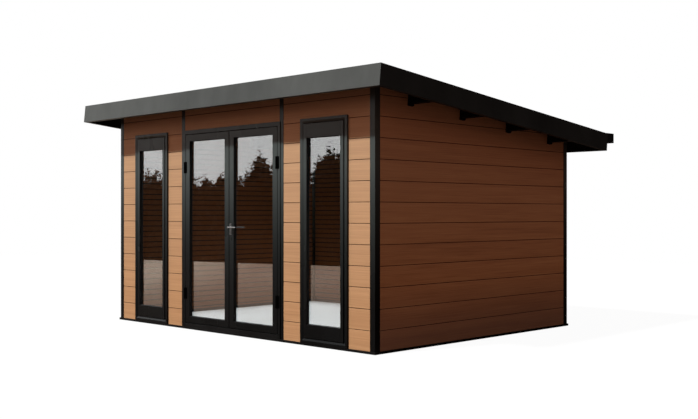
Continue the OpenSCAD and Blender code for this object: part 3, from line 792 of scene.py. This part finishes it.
def rivet_fascia():
    """Dome rivets along the fascias' top lips."""
    dome = [(0.0045, 0.0), (0.0042, 0.0008), (0.0028, 0.0017), (0.0010, 0.0020)]
    inset, corner = 0.020, 0.10
    front_n, side_n, side_pitch = 11, 8, 0.46

    def rivet(first_x, first_down):
        def place(x, y, z):
            return on_roof(x - first_x, y + first_down, z + FASCIA_TOP + HAIR)
        return turned(dome, 10, place)

    start, half, edge = inset - OVER_FRONT, ROOF_HALF - corner, ROOF_HALF - inset
    step = (2 * half / (front_n - 1), 0, 0)
    rivets = repeated("front_rivets", rivet(half, start), FASCIA, (front_n, step))
    finished(rivets, FASCIA, "root", "fascia")
    rivets = repeated("side_rivets", rivet(edge, start + 0.12), SHADED_FASCIA,
                      (side_n, slope_step(side_pitch)), (2, (2 * edge, 0, 0)))
    finished(rivets, SHADED_FASCIA, "root", "fascia")


def stay_gutter():
    """Flat stays from the sheet's valleys to the gutter's outer lip, each screwed to the sheet."""
    half_w, thick, clear = 0.0125, 0.002, 2 * HAIR
    start, flat, on_lip = 3.13, 0.045, 0.012
    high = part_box("gutter")[1]
    valley = PURLIN_H + SHEET_T + clear
    first, bend = on_roof(0, start, valley), on_roof(0, start + flat, valley)
    lip_z = high[2] + clear
    line = [(first.y, first.z), (bend.y, bend.z), (high[1] - on_lip, lip_z), (high[1], lip_z)]
    outline = line + [(y, z + thick) for y, z in line[::-1]]
    stay = extruded("stay", outline, FIRST_VALLEY - half_w, FIRST_VALLEY + half_w)
    on_stay = valley + thick + HAIR
    screw = roof_screw(lambda x, y, z: on_roof(FIRST_VALLEY + x, start + 0.02 + y, on_stay + z))
    stays = repeated("gutter_stays", joined("gutter_stay", [stay, screw]), GUTTER_COAT,
                     (5, (5 * RIB_PITCH, 0, 0)))
    finished(stays, GUTTER_COAT, "root", "gutter")


def screw_hinges():
    """Two screws in each plate of each hinge."""
    radius, apart, from_end = 0.0032, 0.040, 0.009
    frame_low, frame_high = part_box("hinges_on_frame")
    low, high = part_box("hinges_on_left_leaf")
    right_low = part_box("hinges_on_right_leaf")[0]
    face = high[1] - HINGE_PLATE_T - HAIR
    first_z = low[2] + (HINGE_H - apart) / 2
    hinge_step = high[2] - low[2] - HINGE_H
    for name, body, x in (
        ("frame_left", "root", frame_low[0] + from_end),
        ("frame_right", "root", frame_high[0] - from_end),
        ("leaf_left", "left_door", high[0] - from_end),
        ("leaf_right", "right_door", right_low[0] + from_end),
    ):
        one = socket_screw(radius, lambda a, b, c: (x + a, face - c, first_z + b))
        screws = repeated("hinge_screws_" + name, one, HINGE_COAT,
                          (2, (0, 0, apart)), (2, (0, 0, hinge_step)))
        finished(screws, HINGE_COAT, body, "black_metal")


def screw_handle():
    """A screw at the top and foot of both handle plates."""
    radius, from_end, rose = 0.0034, 0.009, 0.002
    low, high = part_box("handle_plates")
    x = (low[0] + high[0]) / 2
    screws = []
    for face, out in ((low[1] + rose, -1), (high[1] - rose, 1)):
        for z in (low[2] + from_end, high[2] - from_end):
            screws.append(socket_screw(radius, lambda a, b, c: (x + a, face + out * (c + HAIR), z + b)))
    finished_mesh("handle_screws", screws, LEVER_STEEL, "right_door", "steel")


# ---- the shed ----

place_camera()
light_studio()
lay_ground()
bpy.context.scene.view_settings.view_transform = "Standard"

ROWS = rows_tree()

# Boards in the sun, and a copy of them in deeper colours for the side and back walls: painted shade,
# and darker towards the ground
BOARD = board_finish(
    "front_board", (0.365, 0.194, 0.095, 1), (0.449, 0.254, 0.124, 1), (0.532, 0.311, 0.157, 1))
SHADE_BOARD = board_finish(
    "side_board_painted_shade", (0.295, 0.132, 0.053, 1), (0.453, 0.219, 0.093, 1), (0.55, 0.297, 0.135, 1), foot_darkening=0.5)

# The colour that frames and posts lighten to towards the top: a painted highlight
PAINTED_HIGHLIGHT = (0.056, 0.068, 0.066, 1)
POST_COAT = powder_coat("post_coat", (0.0020, 0.0023, 0.0025), 0.24, 0.07, 0.06, highlight_colour=PAINTED_HIGHLIGHT)
FRAME_COAT = powder_coat("frame_coat", (0.0020, 0.0024, 0.0026), 0.24, 0.07, 0.06, highlight_colour=PAINTED_HIGHLIGHT)
BLACK_COAT = powder_coat("black_coat", (0.003, 0.003, 0.003), 0.34, 0.06)
HINGE_COAT = powder_coat("hinge_coat", (0.0015, 0.0015, 0.0015), 0.65, 0.0)
# One real coat in two copies: the front fascia's is painted lighter for its sheen, a painted highlight,
# and the side fascias' darker, painted shade
FASCIA = powder_coat("fascia_coat", (0.074, 0.083, 0.080), 0.32, 0.02)
SHADED_FASCIA = powder_coat("side_fascia_painted_shade", (0.023, 0.030, 0.031), 0.36, 0.02)
ROOF = powder_coat("roof_coat", (0.020, 0.022, 0.023), 0.42, 0.10)
GUTTER_COAT = powder_coat("gutter_coat", (0.006, 0.0062, 0.0065), 0.34, 0.12)
DARK_STEEL = powder_coat("purlin_coat", (0.003, 0.003, 0.003), 0.45, 0.08)
FLOOR = floor_finish()
GLASS = glass_finish()
LEVER_STEEL = steel_finish(
    "satin_steel", (0.18, 0.18, 0.178, 1), (0.25, 0.25, 0.248, 1), (40.0, 1400.0, 1400.0))
PLATE_STEEL = steel_finish(
    "dark_steel", (0.10, 0.10, 0.099, 1), (0.13, 0.13, 0.128, 1), (1800.0, 400.0, 30.0))
RUBBER = rubber_finish()

# The finish of each node, by how its name starts: the first that fits holds
FINISHES = {
    "base_rail": BLACK_COAT, "floor_panel": FLOOR, "corner_post": POST_COAT, "door_post": POST_COAT,
    "front_": BOARD, "door_head_panel": BOARD, "left_wall": SHADE_BOARD, "right_wall": SHADE_BOARD,
    "back_wall": SHADE_BOARD, "window_frame": FRAME_COAT, "window_sash": FRAME_COAT,
    "window_glass": GLASS, "door_frame": FRAME_COAT, "door_sill": BLACK_COAT,
    "door_leaf": FRAME_COAT, "door_glass": GLASS, "hinges": HINGE_COAT,
    "handle_plates": PLATE_STEEL, "lever_handle": LEVER_STEEL, "purlin": DARK_STEEL,
    "roof_sheet": ROOF, "fascia_front": FASCIA, "fascia": SHADED_FASCIA, "gutter": GUTTER_COAT,
}
for node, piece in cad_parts.items():
    finish = next(paint for start, paint in FINISHES.items() if node.startswith(start))
    for material_slot in piece.material_slots:
        material_slot.material = finish

build_walls()
for side in ("left", "right"):
    seal_glass("window_glass_" + side, "window_sash_" + side, "root")
    seal_glass("door_glass_" + side, "door_leaf_" + side, side + "_door")
shade_board_ends()
trim_floor()
seal_meeting_edge()
fix_roof()
rivet_fascia()
stay_gutter()
screw_hinges()
screw_handle()
